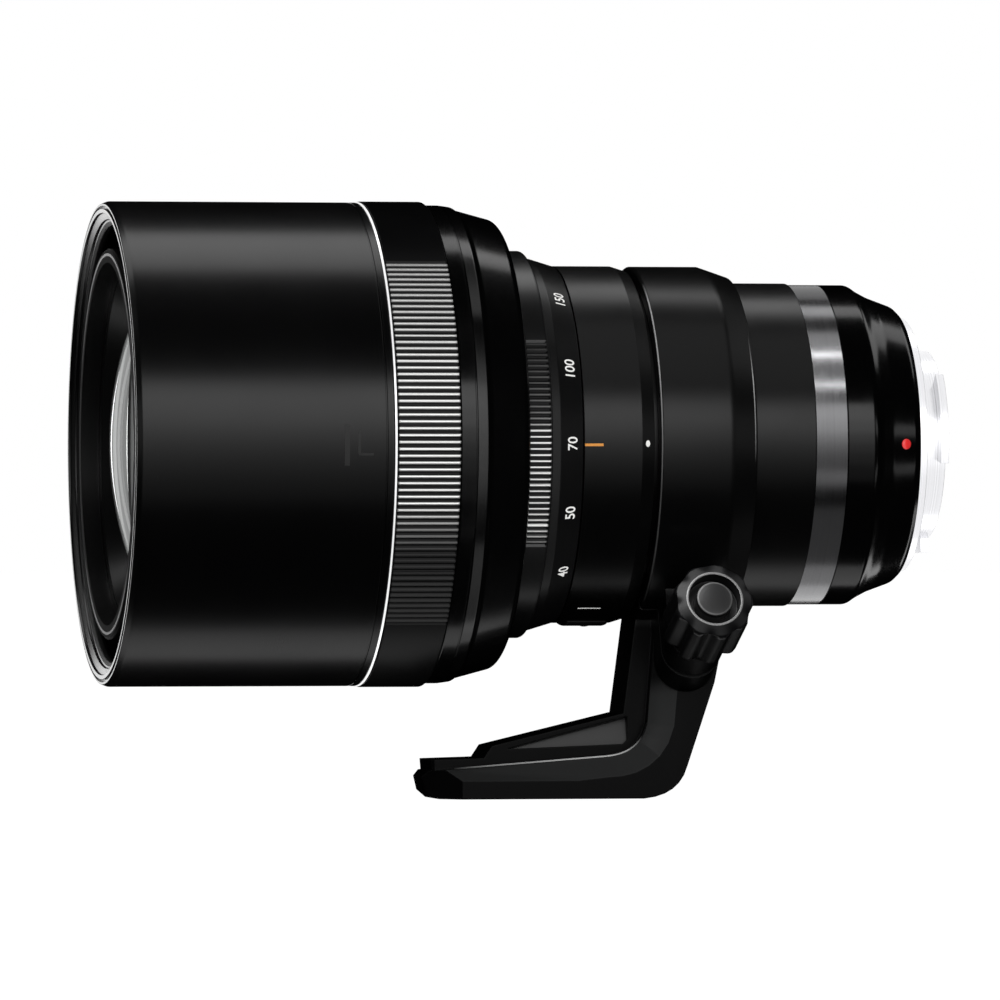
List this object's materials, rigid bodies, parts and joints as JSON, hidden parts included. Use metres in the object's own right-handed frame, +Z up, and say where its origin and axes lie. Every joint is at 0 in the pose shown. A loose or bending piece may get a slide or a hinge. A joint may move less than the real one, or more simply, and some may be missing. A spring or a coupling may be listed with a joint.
{
  "type": "camera zoom lens",
  "caption": "Camera zoom lens with a bayonet mount, ribbed zoom ring, clutch focus ring, a hood that slides over the barrel and a turning tripod collar with foot.",
  "frame": {"origin": "centre of the mount's flange face, on the optical axis", "axes": "+X along the optical axis towards the camera, so the lens points along -X; +Z up, away from the tripod foot; the index marks face -Y"},
  "size_m": [0.1676, 0.0968, 0.119],
  "materials": {
    "black_metal": "black satin coat",
    "gloss_black": "polished black",
    "bright_metal": "bright turned",
    "steel": "plain",
    "gold_contact": "gold plated",
    "roller_brass": "turned",
    "glass": "coated",
    "black_plastic": "matte",
    "grey_aluminium": "dark anodised",
    "board": "solder mask",
    "coil_copper": "enamelled wire",
    "felt": "flocked",
    "knob_black": "moulded, fine grain",
    "button_black": "satin"
  },
  "bodies": {
    "barrel": {"main_barrel": "black_metal", "trim_ring": "bright_metal", "mount_housing": "gloss_black", "mount_flange": "bright_metal", "mount_screws": "steel", "contact_block": "black_plastic", "contact_pins": "gold_contact", "rear_baffle": "black_plastic", "rear_cell": "grey_aluminium", "rear_lens": "glass", "main_board": "board", "guide_barrel": "grey_aluminium", "iris_housing": "black_plastic", "iris_cover": "black_plastic", "front_barrel": "black_metal", "front_cell": "grey_aluminium", "front_doublet": "glass", "front_element": "glass", "name_ring": "black_metal", "filter_ring": "black_metal", "focus_rods": "steel", "focus_magnets": "steel", "button_switch": "steel"},
    "zoom": {"zoom_ring": "black_metal", "zoom_key": "steel", "cam_barrel": "grey_aluminium"},
    "variator": {"variator_cell": "grey_aluminium", "variator_lens": "glass", "variator_rollers": "roller_brass"},
    "compensator": {"compensator_cell": "grey_aluminium", "compensator_lens": "glass", "compensator_rollers": "roller_brass"},
    "clutch": {"focus_clutch": "grey_aluminium"},
    "focus_grip": {"focus_ring": "black_metal"},
    "focus_group": {"focus_cell": "black_plastic", "focus_lens": "glass", "focus_coils": "coil_copper"},
    "iris": {"iris_ring": "black_plastic"},
    "blade_1": {"iris_blade_1": "black_plastic"},
    "blade_2": {"iris_blade_2": "black_plastic"},
    "blade_3": {"iris_blade_3": "black_plastic"},
    "blade_4": {"iris_blade_4": "black_plastic"},
    "blade_5": {"iris_blade_5": "black_plastic"},
    "blade_6": {"iris_blade_6": "black_plastic"},
    "blade_7": {"iris_blade_7": "black_plastic"},
    "blade_8": {"iris_blade_8": "black_plastic"},
    "blade_9": {"iris_blade_9": "black_plastic"},
    "hood": {"hood_tube": "black_metal", "hood_trim": "bright_metal", "hood_cone": "gloss_black", "hood_felt": "felt"},
    "hood_lock": {"hood_lock_ring": "black_metal"},
    "collar": {"tripod_collar": "black_metal", "collar_liner": "black_plastic", "tripod_bush": "steel"},
    "clamp": {"clamp_washer": "steel"},
    "knob": {"clamp_knob": "knob_black", "clamp_screw": "steel", "knob_cap": "knob_black"},
    "button": {"function_button": "button_black"}
  },
  "joints": [
    {"name": "zoom_turn", "type": "hinge", "parent": "barrel", "child": "zoom", "pos_m": [0, 0, 0], "axis": [1, 0, 0], "range_deg": [-44, 53]},
    {"name": "variator_slide", "type": "slide", "parent": "barrel", "child": "variator", "axis": [1, 0, 0], "range_m": [-0.0111, 0.0134]},
    {"name": "compensator_slide", "type": "slide", "parent": "barrel", "child": "compensator", "axis": [1, 0, 0], "range_m": [-0.0054, 0.0045]},
    {"name": "clutch_slide", "type": "slide", "parent": "barrel", "child": "clutch", "axis": [1, 0, 0], "range_m": [0, 0.004]},
    {"name": "focus_turn", "type": "hinge", "parent": "clutch", "child": "focus_grip", "pos_m": [-0.1, 0, 0], "axis": [1, 0, 0], "continuous": true},
    {"name": "focus_slide", "type": "slide", "parent": "barrel", "child": "focus_group", "axis": [1, 0, 0], "range_m": [-0.0045, 0.0045]},
    {"name": "iris_turn", "type": "hinge", "parent": "barrel", "child": "iris", "pos_m": [-0.11, 0, 0], "axis": [-1, 0, 0], "range_deg": [0, 40]},
    {"name": "hood_slide", "type": "slide", "parent": "barrel", "child": "hood", "axis": [-1, 0, 0], "range_m": [0, 0.058]},
    {"name": "hood_lock_turn", "type": "hinge", "parent": "hood", "child": "hood_lock", "pos_m": [-0.105, 0, 0], "axis": [1, 0, 0], "range_deg": [0, 30]},
    {"name": "collar_turn", "type": "hinge", "parent": "barrel", "child": "collar", "pos_m": [-0.045, 0, 0], "axis": [1, 0, 0], "continuous": true},
    {"name": "clamp_travel", "type": "slide", "parent": "collar", "child": "clamp", "axis": [0, -0.9178, 0.3971], "range_m": [0, 0.0012]},
    {"name": "knob_turn", "type": "hinge", "parent": "clamp", "child": "knob", "pos_m": [-0.0464, -0.01757, -0.04061], "axis": [0, -0.9178, 0.3971], "range_deg": [0, 545]},
    {"name": "button_press", "type": "slide", "parent": "barrel", "child": "button", "axis": [0, 0, 1], "range_m": [0, 0.0006], "stiffness_N_per_m": 400},
    {"name": "blade_turn_1", "type": "hinge", "parent": "barrel", "child": "blade_1", "pos_m": [-0.1075, 0.01318, 0.0157], "axis": [-1, 0, 0], "range_deg": [0, 25]},
    {"name": "blade_turn_2", "type": "hinge", "parent": "barrel", "child": "blade_2", "pos_m": [-0.1075, 0.02019, 0.00356], "axis": [-1, 0, 0], "range_deg": [0, 25]},
    {"name": "blade_turn_3", "type": "hinge", "parent": "barrel", "child": "blade_3", "pos_m": [-0.1075, 0.01775, -0.01025], "axis": [-1, 0, 0], "range_deg": [0, 25]},
    {"name": "blade_turn_4", "type": "hinge", "parent": "barrel", "child": "blade_4", "pos_m": [-0.1075, 0.00701, -0.01926], "axis": [-1, 0, 0], "range_deg": [0, 25]},
    {"name": "blade_turn_5", "type": "hinge", "parent": "barrel", "child": "blade_5", "pos_m": [-0.1075, -0.00701, -0.01926], "axis": [-1, 0, 0], "range_deg": [0, 25]},
    {"name": "blade_turn_6", "type": "hinge", "parent": "barrel", "child": "blade_6", "pos_m": [-0.1075, -0.01775, -0.01025], "axis": [-1, 0, 0], "range_deg": [0, 25]},
    {"name": "blade_turn_7", "type": "hinge", "parent": "barrel", "child": "blade_7", "pos_m": [-0.1075, -0.02019, 0.00356], "axis": [-1, 0, 0], "range_deg": [0, 25]},
    {"name": "blade_turn_8", "type": "hinge", "parent": "barrel", "child": "blade_8", "pos_m": [-0.1075, -0.01318, 0.0157], "axis": [-1, 0, 0], "range_deg": [0, 25]},
    {"name": "blade_turn_9", "type": "hinge", "parent": "barrel", "child": "blade_9", "pos_m": [-0.1075, 0, 0.0205], "axis": [-1, 0, 0], "range_deg": [0, 25]}
  ],
  "couplings": [
    {"joint": "variator_slide", "follows": "zoom_turn", "m_per_rad": 0.014324},
    {"joint": "compensator_slide", "follows": "zoom_turn", "m_per_rad": -0.0057296},
    {"joint": "knob_turn", "follows": "clamp_travel", "rad_per_m": 7854},
    {"joint": "blade_turn_1", "follows": "iris_turn", "ratio": 0.6},
    {"joint": "blade_turn_2", "follows": "iris_turn", "ratio": 0.6},
    {"joint": "blade_turn_3", "follows": "iris_turn", "ratio": 0.6},
    {"joint": "blade_turn_4", "follows": "iris_turn", "ratio": 0.6},
    {"joint": "blade_turn_5", "follows": "iris_turn", "ratio": 0.6},
    {"joint": "blade_turn_6", "follows": "iris_turn", "ratio": 0.6},
    {"joint": "blade_turn_7", "follows": "iris_turn", "ratio": 0.6},
    {"joint": "blade_turn_8", "follows": "iris_turn", "ratio": 0.6},
    {"joint": "blade_turn_9", "follows": "iris_turn", "ratio": 0.6}
  ]
}
